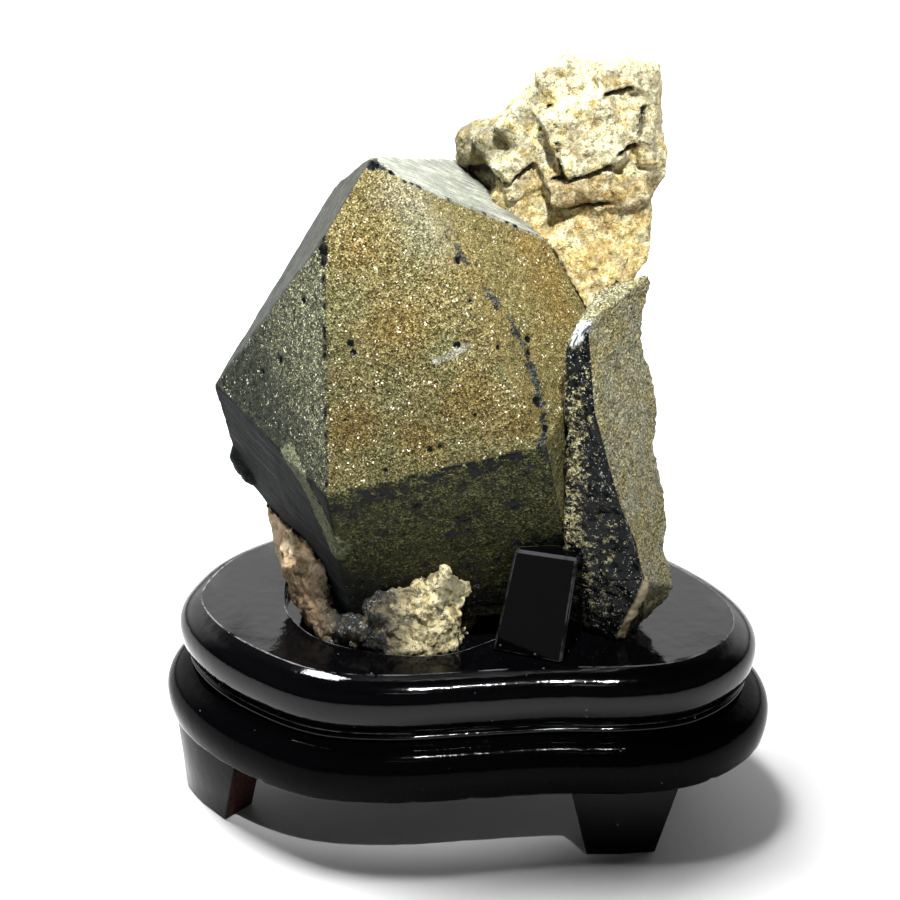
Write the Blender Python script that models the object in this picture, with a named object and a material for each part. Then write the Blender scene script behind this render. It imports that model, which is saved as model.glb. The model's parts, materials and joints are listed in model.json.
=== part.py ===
"""Black quartz crystal on its stand: two crystals and their matrix rock on a two-tier lacquered board.

Metres, +Z up. The origin is on the floor, under the middle of the stand, and the specimen faces -Y.
"""
import math

import bmesh
import bpy
import numpy as np
from mathutils import Matrix, Vector, noise

GAP = 0.0003            # left between pieces that touch

# Stand heights, from the floor up
FOOT_TOP = 0.022
BASE_TOP = 0.038
STAND_TOP = 0.058
RECESS_DEPTH = 0.005

# Edge mouldings, measured outwards from the edge of the flat top
NOSE_REACH = 0.0068     # widest point of the upper board
NOSE_HEIGHT = 0.0502
NOSE_CENTRE = -0.003
NOSE_UNDER = 0.013      # lower half of the nose, as an ellipse's half height
GROOVE_REACH = 0.0030   # the groove above the bead
GROOVE_HEIGHT = 0.0006
BEAD_FOOT = 0.0025
BEAD_REACH = 0.0033     # middle of the bead
BEAD_RADIUS = 0.0009
BASE_REACH = 0.0115     # widest point of the lower board
BASE_WIDEST = 0.029
BASE_SHOULDER = 0.003
BASE_UNDER = 0.014

FOOT_WIDE_TOP = 0.028
FOOT_WIDE_BOTTOM = 0.018
FOOT_THICK = 0.013
FOOT_OUT = 0.0095
FOOT_LEAN = 0.0004      # how far the outer face leans in towards the floor
FOOT_THINNING = 0.002
FOOT_INNER_SHARE = 0.94     # width of the inner face beside the outer one

# Edge of the flat top, clockwise from the left end as seen from above, round the back
FLAT_EDGE = [
    (-0.0780, 0.000), (-0.0745, 0.015), (-0.0665, 0.027), (-0.0530, 0.037), (-0.0330, 0.044),
    (-0.0050, 0.0465), (0.0240, 0.043), (0.0470, 0.032), (0.0640, 0.016), (0.0738, 0.001),
    (0.0765, -0.012), (0.0720, -0.0235), (0.0600, -0.0335), (0.0430, -0.0368), (0.0240, -0.0368),
    (0.0000, -0.0392), (-0.0210, -0.0412), (-0.0410, -0.0390), (-0.0570, -0.0295), (-0.0705, -0.0160),
]
RECESS_EDGE = [
    (-0.0535, 0.000), (-0.0520, 0.018), (-0.0400, 0.034), (-0.0100, 0.0405), (0.0200, 0.038),
    (0.0345, 0.022), (0.0330, 0.002), (0.0200, -0.012), (0.0030, -0.0250), (-0.0080, -0.0305),
    (-0.0240, -0.0300), (-0.0410, -0.0230), (-0.0500, -0.0120),
]
EDGE_STEPS = 4          # points along each stretch between two points of an edge
FEET = {                # a spot beside the middle of each foot's outer face, once the board is centred
    "foot_front_left": (-0.076, -0.026),
    "foot_front_right": (0.043, -0.047),
    "foot_back_left": (-0.050, 0.047),
    "foot_back_right": (0.058, 0.033),
}

# Corners of the main crystal. Its point is made of three large faces and three small ones, over the prism.
MAIN_CORNERS = {
    "point": (-0.0263, -0.0038, 0.1975),
    "point_right": (-0.0157, -0.0075, 0.1913),
    "left_face_top": (-0.0392, -0.0110, 0.1772),
    "left_corner": (-0.0724, 0.0118, 0.1216),
    "front_left": (-0.0387, -0.0380, 0.1129),
    "front_right": (0.0203, -0.0378, 0.1277),
    "back_left_top": (-0.0379, 0.0306, 0.1745),
    "back_right_top": (-0.0036, 0.0378, 0.1798),
    "right_shoulder": (0.0208, 0.0080, 0.1687),
    "right_edge": (0.0319, 0.0013, 0.1515),
    "right_corner": (0.0372, -0.0016, 0.1435),
    "left_low": (-0.0668, 0.0150, 0.0945),
    "left_break": (-0.0453, -0.0145, 0.0886),
    "front_left_foot": (-0.0332, -0.0198, 0.0620),
    "front_right_foot": (0.0326, -0.0139, 0.0620),
    "back_left": (-0.0360, 0.0430, 0.1300),
    "back_right": (0.0150, 0.0430, 0.1350),
    "back_left_foot": (-0.0380, 0.0300, 0.0640),
    "back_right_foot": (0.0340, 0.0300, 0.0640),
    "right_back": (0.0400, 0.0120, 0.1050),
    "left_back": (-0.0560, 0.0280, 0.0900),
}
# Corners of the side crystal: a broken prism that stands on its thin end.
SIDE_CORNERS = {
    "tip_left": (0.0254, -0.0292, 0.1545),
    "tip": (0.0315, -0.0245, 0.1577),
    "top_right": (0.0455, -0.0020, 0.1620),
    "top_middle": (0.0356, -0.0060, 0.1600),
    "ridge_upper": (0.0356, -0.0325, 0.1278),
    "ridge_lower": (0.0408, -0.0330, 0.1090),
    "ridge_foot": (0.0489, -0.0305, 0.0812),
    "left_upper": (0.0260, -0.0288, 0.1215),
    "left_lower": (0.0266, -0.0272, 0.0890),
    "left_foot": (0.0330, -0.0180, 0.0600),
    "foot": (0.0420, -0.0245, 0.0588),
    "foot_left": (0.0350, -0.0185, 0.0588),
    "foot_right": (0.0482, -0.0200, 0.0600),
    "right_top": (0.0478, -0.0030, 0.1545),
    "right_upper": (0.0505, -0.0060, 0.1270),
    "right_lower": (0.0545, -0.0130, 0.0885),
    "right_chip": (0.0578, -0.0160, 0.0712),
    "right_foot": (0.0532, -0.0180, 0.0667),
    "back_top": (0.0440, 0.0120, 0.1500),
    "back_right": (0.0500, 0.0100, 0.1100),
    "back_foot": (0.0480, 0.0060, 0.0680),
    "back_left_foot": (0.0370, 0.0060, 0.0640),
}
# Lumps of the matrix rock, each the hull of its corners.
ROCK_LUMPS = {
    "tower_foot": [
        (0.004, 0.046, 0.098), (0.048, 0.042, 0.098), (0.052, 0.006, 0.100), (0.020, 0.010, 0.100),
        (0.020, 0.008, 0.168), (0.034, -0.001, 0.150), (0.049, 0.003, 0.150), (0.051, 0.004, 0.163),
        (0.050, 0.040, 0.165), (0.010, 0.046, 0.165),
    ],
    "tower": [
        (0.020, 0.010, 0.163), (0.035, 0.004, 0.158), (0.050, 0.006, 0.160), (0.0505, 0.013, 0.180),
        (0.052, 0.036, 0.180), (0.012, 0.045, 0.160), (-0.002, 0.043, 0.177), (-0.001, 0.035, 0.183),
        (0.010, 0.025, 0.176), (0.009, 0.026, 0.187), (0.016, 0.029, 0.197), (0.022, 0.028, 0.204),
        (0.048, 0.024, 0.206), (0.050, 0.036, 0.202), (0.024, 0.041, 0.201), (0.004, 0.042, 0.186),
        (-0.003, 0.041, 0.168), (0.006, 0.031, 0.160), (0.015, 0.019, 0.156),
    ],
    "back_mound": [
        (-0.050, 0.010, 0.0540), (-0.048, 0.026, 0.0540), (-0.032, 0.036, 0.0540), (0.028, 0.036, 0.0540),
        (0.033, 0.010, 0.0540), (-0.046, 0.040, 0.080), (-0.020, 0.047, 0.112), (0.010, 0.048, 0.125),
        (0.046, 0.046, 0.118), (0.050, 0.030, 0.080), (0.054, 0.008, 0.098), (-0.052, 0.020, 0.094),
    ],
    "right_foot": [
        (0.030, 0.006, 0.0600), (0.050, 0.004, 0.0640), (0.053, 0.008, 0.110), (0.048, 0.034, 0.110),
        (0.040, 0.034, 0.0640), (0.028, 0.020, 0.0600), (0.040, 0.002, 0.110),
    ],
    "floor": [
        (-0.042, -0.020, 0.0535), (-0.020, -0.027, 0.0535), (-0.004, -0.026, 0.0535), (0.018, -0.008, 0.0535),
        (0.030, 0.006, 0.0535), (0.026, 0.034, 0.0535), (-0.038, 0.030, 0.0535), (-0.050, 0.010, 0.0535),
        (-0.040, -0.018, 0.0610), (-0.006, -0.024, 0.0610), (0.016, -0.006, 0.0610), (0.026, 0.030, 0.0640),
        (-0.038, 0.030, 0.0640), (-0.050, 0.010, 0.0640),
    ],
    "left_lump": [
        (-0.0615, 0.009, 0.091), (-0.0455, -0.012, 0.090), (-0.0385, -0.0175, 0.086),
        (-0.0405, -0.0195, 0.074), (-0.0565, 0.000, 0.0765), (-0.0530, -0.006, 0.068),
        (-0.0475, -0.015, 0.0630), (-0.0430, -0.0215, 0.0565), (-0.0400, -0.020, 0.0555),
        (-0.0540, 0.022, 0.092), (-0.0440, 0.024, 0.0560), (-0.0300, -0.002, 0.0560),
        (-0.0500, -0.004, 0.0560),
    ],
    "front_lump": [
        (-0.0310, -0.0255, 0.0715), (-0.0190, -0.0265, 0.0775), (-0.0068, -0.0240, 0.0830),
        (-0.0010, -0.0255, 0.0790), (0.0040, -0.0225, 0.0715), (-0.0010, -0.0280, 0.0650),
        (-0.0040, -0.0290, 0.0560), (-0.0190, -0.0310, 0.0560), (-0.0250, -0.0140, 0.0700),
        (-0.0060, -0.0120, 0.0720), (-0.0320, -0.0260, 0.0560), (0.0000, -0.0100, 0.0560),
    ],
    "front_toe": [
        (-0.0415, -0.0225, 0.0625), (-0.0300, -0.0255, 0.0660), (-0.0300, -0.0275, 0.0560),
        (-0.0410, -0.0225, 0.0560), (-0.0280, -0.0120, 0.0650), (-0.0400, -0.0120, 0.0600),
        (-0.0280, -0.0120, 0.0560),
    ],
    "knob": [
        (-0.0046, 0.034, 0.183), (-0.0012, 0.031, 0.190), (0.0040, 0.032, 0.1915), (0.0075, 0.034, 0.183),
        (0.0035, 0.030, 0.178), (-0.0030, 0.032, 0.177), (-0.0035, 0.043, 0.179), (0.0050, 0.044, 0.183),
    ],
}
# Blocks of the matrix rock: middle, size, and how far each is turned about Y and about Z, in degrees.
ROCK_BLOCKS = {
    "middle_block": ((0.0315, 0.0190, 0.1955), (0.0200, 0.0160, 0.0190), -19, 8),
    "middle_ledge": ((0.0300, 0.0165, 0.1815), (0.0180, 0.0150, 0.0080), -14, 4),
    "low_ledge": ((0.0415, 0.0150, 0.1800), (0.0160, 0.0130, 0.0070), -10, -6),
    "top_block": ((0.0405, 0.0240, 0.2090), (0.0120, 0.0140, 0.0070), -10, 6),
    "gap_block": ((0.0410, 0.0230, 0.2025), (0.0100, 0.0100, 0.0050), -10, 0),
    "small_block": ((0.0410, 0.0190, 0.1975), (0.0080, 0.0110, 0.0090), -6, 12),
    "right_slab": ((0.0500, 0.0235, 0.1980), (0.0050, 0.0150, 0.0260), -6, -10),
    "right_low_slab": ((0.0505, 0.0200, 0.1870), (0.0060, 0.0120, 0.0130), 8, 6),
    "crown": ((0.0262, 0.0290, 0.2045), (0.0120, 0.0140, 0.0110), -18, 4),
    "crown_right": ((0.0345, 0.0280, 0.2055), (0.0075, 0.0110, 0.0070), -8, -8),
    "upper_bar": ((0.0165, 0.0265, 0.1965), (0.0170, 0.0120, 0.0065), -36, 14),
    "lower_bar": ((0.0145, 0.0205, 0.1880), (0.0170, 0.0100, 0.0060), -33, 22),
    "left_step": ((0.0135, 0.0195, 0.1800), (0.0110, 0.0090, 0.0060), -24, 18),
    "back_block": ((0.0300, 0.0400, 0.1870), (0.0260, 0.0120, 0.0240), 12, 10),
    "back_step": ((0.0240, 0.0430, 0.1640), (0.0300, 0.0110, 0.0200), -8, -6),
    "back_foot": ((0.0060, 0.0430, 0.1020), (0.0360, 0.0120, 0.0220), 10, 6),
}
BLOCK_BEVEL = 0.0009
ROCK_VOXEL = 0.0016
ROCK_ROUGHNESS = ((0.017, 0.0008), (0.0070, 0.0006))    # size and height of each layer of lumps
LUMP_SMOOTH = 0.6       # shares of smooth and of cornered lumps in a layer, and the level they sink by
LUMP_CORNERED = 0.9
LUMP_LEVEL = 0.35
ROCK_TRIANGLES = 5400
ROCK_SEED = Vector((3.1, 7.7, 1.9))

POST_FOOT = ((0.0066, -0.0286), (0.0257, -0.0358), (0.0322, -0.0217), (0.0131, -0.0145))
POST_TOP = ((0.0126, -0.0275), (0.0297, -0.0325), (0.0322, -0.0270), (0.0151, -0.0220))
POST_HEIGHT = 0.032
POST_BEVEL = 0.0006
CUTTER_MARGIN = 0.01    # how far a cutter reaches past what it cuts
CUTTER_SLAB = 0.3

LACQUER = ((0.006, 0.006, 0.007), 0.12)
QUARTZ = ((0.17, 0.14, 0.075), 0.45)
DARK_QUARTZ = ((0.11, 0.105, 0.07), 0.45)
ROCK = ((0.52, 0.42, 0.26), 0.85)


def clear_scene():
    for thing in list(bpy.data.objects):
        bpy.data.objects.remove(thing, do_unlink=True)


def make_material(name, colour, roughness, metallic=0.0):
    material = bpy.data.materials.new(name)
    material.use_nodes = True
    shader = material.node_tree.nodes["Principled BSDF"]
    shader.inputs["Base Color"].default_value = (*colour, 1.0)
    shader.inputs["Roughness"].default_value = roughness
    shader.inputs["Metallic"].default_value = metallic
    return material


def add_object(name, bm, finish=None):
    """Turn a bmesh into a named object. Without a finish it is a guide, which is never rendered."""
    bmesh.ops.recalc_face_normals(bm, faces=bm.faces)
    mesh = bpy.data.meshes.new(name)
    bm.to_mesh(mesh)
    bm.free()
    thing = bpy.data.objects.new(name, mesh)
    bpy.context.collection.objects.link(thing)
    if finish is None:
        thing.hide_render = True
        thing.display_type = "WIRE"
    else:
        mesh.materials.append(make_material(name, *finish))
    return thing


def hull(corners):
    """The smallest convex solid around the corners, with its flat faces joined up."""
    bm = bmesh.new()
    for corner in corners:
        bm.verts.new(corner)
    made = bmesh.ops.convex_hull(bm, input=bm.verts)
    inside = [e for e in made["geom_interior"] + made["geom_unused"] if isinstance(e, bmesh.types.BMVert)]
    bmesh.ops.delete(bm, geom=list(set(inside)), context="VERTS")
    bmesh.ops.dissolve_limit(bm, angle_limit=math.radians(1.0), verts=bm.verts, edges=bm.edges)
    return bm


def grown_hull(corners, amount):
    """The same solid with every face moved outwards by the amount."""
    bm = hull(corners)
    bmesh.ops.recalc_face_normals(bm, faces=bm.faces)
    bm.normal_update()
    moved = []
    for vert in bm.verts:
        normals = np.array([face.normal[:] for face in vert.link_faces])
        step = np.linalg.lstsq(normals, np.full(len(normals), amount), rcond=None)[0]
        moved.append(vert.co + Vector(step))
    bm.free()
    return hull(moved)


def modify(thing, kind, **settings):
    modifier = thing.modifiers.new(kind.lower(), kind)
    for key, value in settings.items():
        setattr(modifier, key, value)
    return modifier


def cut(thing, cutter):
    modify(thing, "BOOLEAN", object=cutter, operation="DIFFERENCE", solver="EXACT")


def settle(thing):
    """Replace an object's mesh by the result of its modifiers."""
    bpy.context.view_layer.update()
    depsgraph = bpy.context.evaluated_depsgraph_get()
    mesh = bpy.data.meshes.new_from_object(thing.evaluated_get(depsgraph))
    thing.modifiers.clear()
    thing.data = mesh


def keep_largest_piece(thing):
    """Drop the crumbs that a cut leaves beside the main body."""
    bm = bmesh.new()
    bm.from_mesh(thing.data)
    bmesh.ops.remove_doubles(bm, verts=bm.verts, dist=1e-6)
    left = set(bm.verts)
    pieces = []
    while left:
        piece = {left.pop()}
        edge_of = list(piece)
        while edge_of:
            vert = edge_of.pop()
            for edge in vert.link_edges:
                other = edge.other_vert(vert)
                if other in left:
                    left.remove(other)
                    piece.add(other)
                    edge_of.append(other)
        pieces.append(piece)
    pieces.sort(key=len)
    for piece in pieces[:-1]:
        bmesh.ops.delete(bm, geom=list(piece), context="VERTS")
    bm.to_mesh(thing.data)
    bm.free()


def closed_curve(points, steps):
    """A smooth closed curve through the points, with its outward normal at each place."""
    points = [Vector(p) for p in points]
    count = len(points)
    places = []
    for i in range(count):
        before, start, end, after = (points[(i + k) % count] for k in (-1, 0, 1, 2))
        for step in range(steps):
            t = step / steps
            square = 2 * before - 5 * start + 4 * end - after
            cube = 3 * start - before - 3 * end + after
            places.append(0.5 * (2 * start + (end - before) * t + square * t ** 2 + cube * t ** 3))
    total = len(places)
    normals = []
    for i in range(total):
        along = places[(i + 1) % total] - places[i - 1]
        normals.append(Vector((-along.y, along.x)).normalized())
    return places, normals


def centred_edge():
    """The edge of the flat top, moved so that the widest moulding is centred on the origin."""
    places, normals = closed_curve(FLAT_EDGE, EDGE_STEPS)
    outer = [p + n * BASE_REACH for p, n in zip(places, normals)]
    middle = Vector([(min(p[k] for p in outer) + max(p[k] for p in outer)) / 2 for k in (0, 1)])
    return [p - middle for p in places], normals, middle


def stacked_rings(rings):
    """A closed solid through rings of equal length, from the lowest to the highest."""
    bm = bmesh.new()
    made = [[bm.verts.new(p) for p in ring] for ring in rings]
    count = len(made[0])
    for low, high in zip(made, made[1:]):
        for i in range(count):
            j = (i + 1) % count
            bm.faces.new((low[i], low[j], high[j], high[i]))
    bm.faces.new(made[0])
    bm.faces.new(made[-1])
    return bm


def board(name, edge, normals, profile, finish):
    """A board whose edge follows a profile of (distance outwards, height), from the bottom up."""
    rings = [[(*(p + n * out), z) for p, n in zip(edge, normals)] for out, z in profile]
    thing = add_object(name, stacked_rings(rings), finish)
    thing.data.shade_smooth()
    thing.data.set_sharp_from_angle(angle=math.radians(32))
    return thing


def arc(centre, radius, start, end, steps):
    """Points of an ellipse's arc, with its angles in degrees from straight outwards."""
    turn = [math.radians(start + (end - start) * i / steps) for i in range(steps + 1)]
    return [(centre[0] + radius[0] * math.cos(a), centre[1] + radius[1] * math.sin(a)) for a in turn]


def top_profile():
    reach = NOSE_REACH - NOSE_CENTRE
    rise_angle = math.degrees(math.acos(-NOSE_CENTRE / reach))
    rise = (STAND_TOP - NOSE_HEIGHT) / math.sin(math.radians(rise_angle))
    centre = (NOSE_CENTRE, NOSE_HEIGHT)
    bead = (BEAD_REACH, BASE_TOP + GAP + BEAD_RADIUS)
    profile = [(BEAD_FOOT, BASE_TOP + GAP)]
    profile += arc(bead, (BEAD_RADIUS, BEAD_RADIUS), -90, 90, 4)
    profile += [(GROOVE_REACH, bead[1] + BEAD_RADIUS + GROOVE_HEIGHT)]
    profile += arc(centre, (reach, NOSE_UNDER), -45, 0, 4)
    profile += arc(centre, (reach, rise), 0, rise_angle, 5)[1:]
    return profile


def base_profile():
    centre = (BASE_SHOULDER, BASE_WIDEST)
    reach = BASE_REACH - BASE_SHOULDER
    profile = arc(centre, (reach, BASE_UNDER), -30, 0, 2)
    profile += arc(centre, (reach, BASE_TOP - BASE_WIDEST), 0, 90, 5)[1:]
    return profile


def make_boards(edge, normals, middle):
    top = board("stand_top", edge, normals, top_profile(), LACQUER)
    board("stand_base", edge, normals, base_profile(), LACQUER)
    rim, _ = closed_curve(RECESS_EDGE, EDGE_STEPS)
    rim = [p - middle for p in rim]
    low = [(*p, STAND_TOP - RECESS_DEPTH) for p in rim]
    high = [(*p, STAND_TOP + CUTTER_MARGIN) for p in rim]
    recess = add_object("recess_cutter", stacked_rings([low, high]))
    cut(top, recess)


def make_foot(name, spot, edge, normals):
    """A foot whose outer face follows the board's edge, and which narrows towards the floor."""
    lengths = [0.0]
    for a, b in zip(edge, edge[1:] + edge[:1]):
        lengths.append(lengths[-1] + (b - a).length)
    total = lengths.pop()
    outer = [p + n * FOOT_OUT for p, n in zip(edge, normals)]
    nearest = min(range(len(outer)), key=lambda i: (outer[i] - Vector(spot)).length)

    def at(along, out):
        along = (lengths[nearest] + along) % total
        i = max(k for k in range(len(lengths)) if lengths[k] <= along)
        j = (i + 1) % len(edge)
        share = (along - lengths[i]) / ((lengths[j] - lengths[i]) % total)
        return edge[i].lerp(edge[j], share) + normals[i].lerp(normals[j], share).normalized() * out

    rings = []
    for width, out, thick, z in ((FOOT_WIDE_BOTTOM, FOOT_OUT - FOOT_LEAN, FOOT_THICK - FOOT_THINNING, 0.0),
                                 (FOOT_WIDE_TOP, FOOT_OUT, FOOT_THICK, FOOT_TOP - GAP)):
        steps = [width * (k / 4 - 0.5) for k in range(5)]
        ring = [at(s, out) for s in steps]
        ring += [at(s * FOOT_INNER_SHARE, out - thick) for s in reversed(steps)]
        rings.append([(*p, z) for p in ring])
    return add_object(name, stacked_rings(rings), LACQUER)


def moved(corners, middle):
    return [Vector((x - middle.x, y - middle.y, z)) for x, y, z in corners]


def block(middle_point, size, turn_y, turn_z):
    """A rough block: a box with its corners knocked off."""
    bm = bmesh.new()
    bmesh.ops.create_cube(bm, size=1.0)
    bmesh.ops.scale(bm, vec=size, verts=bm.verts)
    bmesh.ops.bevel(bm, geom=bm.edges[:], offset=BLOCK_BEVEL, segments=1, affect="EDGES")
    turn = Matrix.Rotation(math.radians(turn_z), 4, "Z") @ Matrix.Rotation(math.radians(turn_y), 4, "Y")
    bmesh.ops.transform(bm, matrix=Matrix.Translation(middle_point) @ turn, verts=bm.verts)
    return bm


def append(target, source):
    mesh = bpy.data.meshes.new("piece")
    source.to_mesh(mesh)
    source.free()
    target.from_mesh(mesh)
    bpy.data.meshes.remove(mesh)


def roughen(thing):
    """Push the surface in and out by layers of lumps, each partly smooth and partly cornered."""
    bm = bmesh.new()
    bm.from_mesh(thing.data)
    bm.normal_update()
    shifts = []
    for vert in bm.verts:
        height = 0.0
        for size, tall in ROCK_ROUGHNESS:
            place = vert.co / size + ROCK_SEED
            cells = noise.voronoi(place)[0]
            cornered = cells[1] - cells[0]
            height += tall * (LUMP_SMOOTH * noise.noise(place) + LUMP_CORNERED * cornered - LUMP_LEVEL)
        shifts.append(vert.normal * height)
    for vert, shift in zip(bm.verts, shifts):
        vert.co += shift
    bm.to_mesh(thing.data)
    bm.free()


def make_rock(middle, edge_of_recess):
    bm = bmesh.new()
    for corners in ROCK_LUMPS.values():
        append(bm, hull(moved(corners, middle)))
    for place, size, turn_y, turn_z in ROCK_BLOCKS.values():
        append(bm, block(moved([place], middle)[0], size, turn_y, turn_z))
    rock = add_object("matrix_rock", bm, ROCK)
    modify(rock, "REMESH", mode="VOXEL", voxel_size=ROCK_VOXEL)
    settle(rock)
    roughen(rock)
    modify(rock, "DECIMATE", ratio=ROCK_TRIANGLES / (2 * len(rock.data.polygons)))
    settle(rock)

    slab = bmesh.new()
    bmesh.ops.create_cube(slab, size=1.0)
    bmesh.ops.scale(slab, vec=(CUTTER_SLAB, CUTTER_SLAB, STAND_TOP + GAP), verts=slab.verts)
    bmesh.ops.translate(slab, vec=(0, 0, (STAND_TOP + GAP) / 2), verts=slab.verts)
    stand_room = add_object("stand_clearance", slab)
    well = [[(*p, z) for p in edge_of_recess]
            for z in (STAND_TOP - RECESS_DEPTH + GAP, STAND_TOP + CUTTER_MARGIN)]
    cut(stand_room, add_object("recess_room", stacked_rings(well)))
    settle(stand_room)

    for name, corners in (("main", MAIN_CORNERS), ("side", SIDE_CORNERS)):
        cut(rock, add_object(name + "_socket", grown_hull(moved(corners.values(), middle), GAP)))
    cut(rock, stand_room)
    settle(rock)
    keep_largest_piece(rock)
    return rock


def make_crystals(middle):
    main_corners = moved(MAIN_CORNERS.values(), middle)
    add_object("main_crystal", hull(main_corners), QUARTZ)
    side = add_object("side_crystal", hull(moved(SIDE_CORNERS.values(), middle)), DARK_QUARTZ)
    cut(side, add_object("main_contact", grown_hull(main_corners, GAP)))
    settle(side)
    keep_largest_piece(side)


def make_post(middle):
    """The wedge that props the main crystal, cut to lean against both crystals."""
    foot = [(x - middle.x, y - middle.y, STAND_TOP + GAP) for x, y in POST_FOOT]
    head = [(x - middle.x, y - middle.y, STAND_TOP + GAP + POST_HEIGHT) for x, y in POST_TOP]
    bm = stacked_rings([foot, head])
    bmesh.ops.bevel(bm, geom=bm.edges[:], offset=POST_BEVEL, segments=1, affect="EDGES")
    post = add_object("support_post", bm, LACQUER)
    for name, corners in (("main", MAIN_CORNERS), ("side", SIDE_CORNERS)):
        cut(post, add_object(name + "_rest", grown_hull(moved(corners.values(), middle), GAP)))
    settle(post)
    keep_largest_piece(post)


def main():
    clear_scene()
    edge, normals, middle = centred_edge()
    make_boards(edge, normals, middle)
    for name, spot in FEET.items():
        make_foot(name, spot, edge, normals)
    rim, rim_normals = closed_curve(RECESS_EDGE, EDGE_STEPS)
    make_crystals(middle)
    make_rock(middle, [p - n * 2 * GAP - middle for p, n in zip(rim, rim_normals)])
    make_post(middle)


main()
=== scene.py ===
"""Black quartz crystal on its lacquered stand: looks, floor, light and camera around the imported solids."""

import json
import math

import bpy
import numpy as np
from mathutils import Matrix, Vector, kdtree, noise

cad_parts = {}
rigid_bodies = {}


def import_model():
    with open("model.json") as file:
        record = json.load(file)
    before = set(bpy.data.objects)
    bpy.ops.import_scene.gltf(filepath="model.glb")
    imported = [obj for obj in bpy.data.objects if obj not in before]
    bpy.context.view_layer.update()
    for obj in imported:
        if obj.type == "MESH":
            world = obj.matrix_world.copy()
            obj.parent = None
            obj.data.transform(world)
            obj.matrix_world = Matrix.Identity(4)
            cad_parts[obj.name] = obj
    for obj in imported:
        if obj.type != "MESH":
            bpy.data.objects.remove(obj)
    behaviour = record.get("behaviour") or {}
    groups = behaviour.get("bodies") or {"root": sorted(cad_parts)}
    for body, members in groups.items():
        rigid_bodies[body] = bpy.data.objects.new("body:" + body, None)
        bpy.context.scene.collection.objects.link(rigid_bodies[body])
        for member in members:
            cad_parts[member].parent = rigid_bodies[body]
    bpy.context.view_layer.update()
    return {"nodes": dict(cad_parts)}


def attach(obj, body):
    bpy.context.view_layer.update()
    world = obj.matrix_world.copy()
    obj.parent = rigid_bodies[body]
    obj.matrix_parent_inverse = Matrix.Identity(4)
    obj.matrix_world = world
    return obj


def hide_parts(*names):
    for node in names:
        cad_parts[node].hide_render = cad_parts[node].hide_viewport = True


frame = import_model()
scene = bpy.context.scene
scene.view_settings.view_transform = "Standard"
MM = 0.001

# Cells of the grainy finishes, and voxels of the remeshed pieces
CRUST_GRAIN = 0.42 * MM
CRUST_FINE = 0.27 * MM
SIDE_GRAIN = 0.50 * MM
SIDE_FINE = 0.30 * MM
ROCK_GRAIN = 0.55 * MM
ROCK_FINE = 0.34 * MM
DUST_SPECKS = 2.4 * MM
CRYSTAL_VOXEL = 0.8 * MM
SIDE_VOXEL = 0.55 * MM
ROCK_VOXEL = 0.8 * MM
MERGED = 0.01 * MM          # points of a solid nearer than this are one point
WEIGHT_STEPS = 20           # a vertex group's weights are rounded to this many


# Shader nodes as expressions

class Value:
    """A socket that gives a number, a colour or a vector. Sums and products of numbers add Math nodes."""

    def __init__(self, finish, socket):
        self.finish = finish
        self.socket = socket

    def _math(self, operation, a, b=None):
        sockets = {0: a} if b is None else {0: a, 1: b}
        return self.finish.node("ShaderNodeMath", {"operation": operation}, sockets)

    def __add__(self, other):
        return self._math("ADD", self, other)

    def __radd__(self, other):
        return self._math("ADD", other, self)

    def __sub__(self, other):
        return self._math("SUBTRACT", self, other)

    def __rsub__(self, other):
        return self._math("SUBTRACT", other, self)

    def __mul__(self, other):
        return self._math("MULTIPLY", self, other)

    def __rmul__(self, other):
        return self._math("MULTIPLY", other, self)

    def least(self, other):
        return self._math("MINIMUM", self, other)

    def most(self, other):
        return self._math("MAXIMUM", self, other)

    def step(self, low, high):
        """0 below low, 1 above high, and a smooth rise between them."""
        return self.finish.node("ShaderNodeMapRange", {"interpolation_type": "SMOOTHSTEP"},
                                {0: self, 1: low, 2: high, 3: 0.0, 4: 1.0})


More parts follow.
